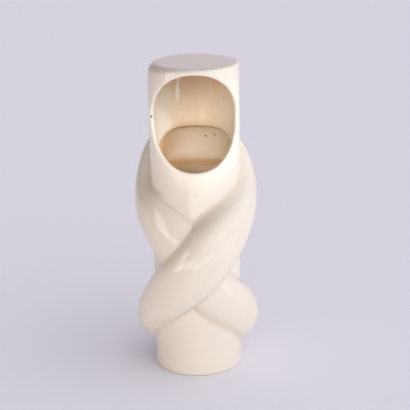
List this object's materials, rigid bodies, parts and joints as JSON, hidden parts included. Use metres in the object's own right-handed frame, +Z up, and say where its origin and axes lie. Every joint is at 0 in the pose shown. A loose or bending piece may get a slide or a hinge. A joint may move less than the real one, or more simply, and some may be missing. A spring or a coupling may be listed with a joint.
{
  "type": "vase",
  "caption": "Upright ceramic cylinder vase with a hollow strand of clay knotted round it and a large oval mouth high in the front.",
  "frame": {"origin": "middle of the flat underside, on the trunk's axis", "axes": "+Z up along the trunk's axis, which is the longest extent; the mouth and the crossing face -Y; +X is to the right of someone facing the mouth"},
  "size_m": [0.118, 0.1275, 0.3],
  "materials": {
    "glaze": "gloss",
    "bare_clay": "matt, unglazed"
  },
  "bodies": {
    "root": {"trunk": "glaze", "crown_disc": "glaze", "floor_disc": "bare_clay", "over_arm": "glaze", "under_arm": "glaze", "shoulder_bend": "glaze", "hip_bend": "glaze"}
  },
  "joints": []
}
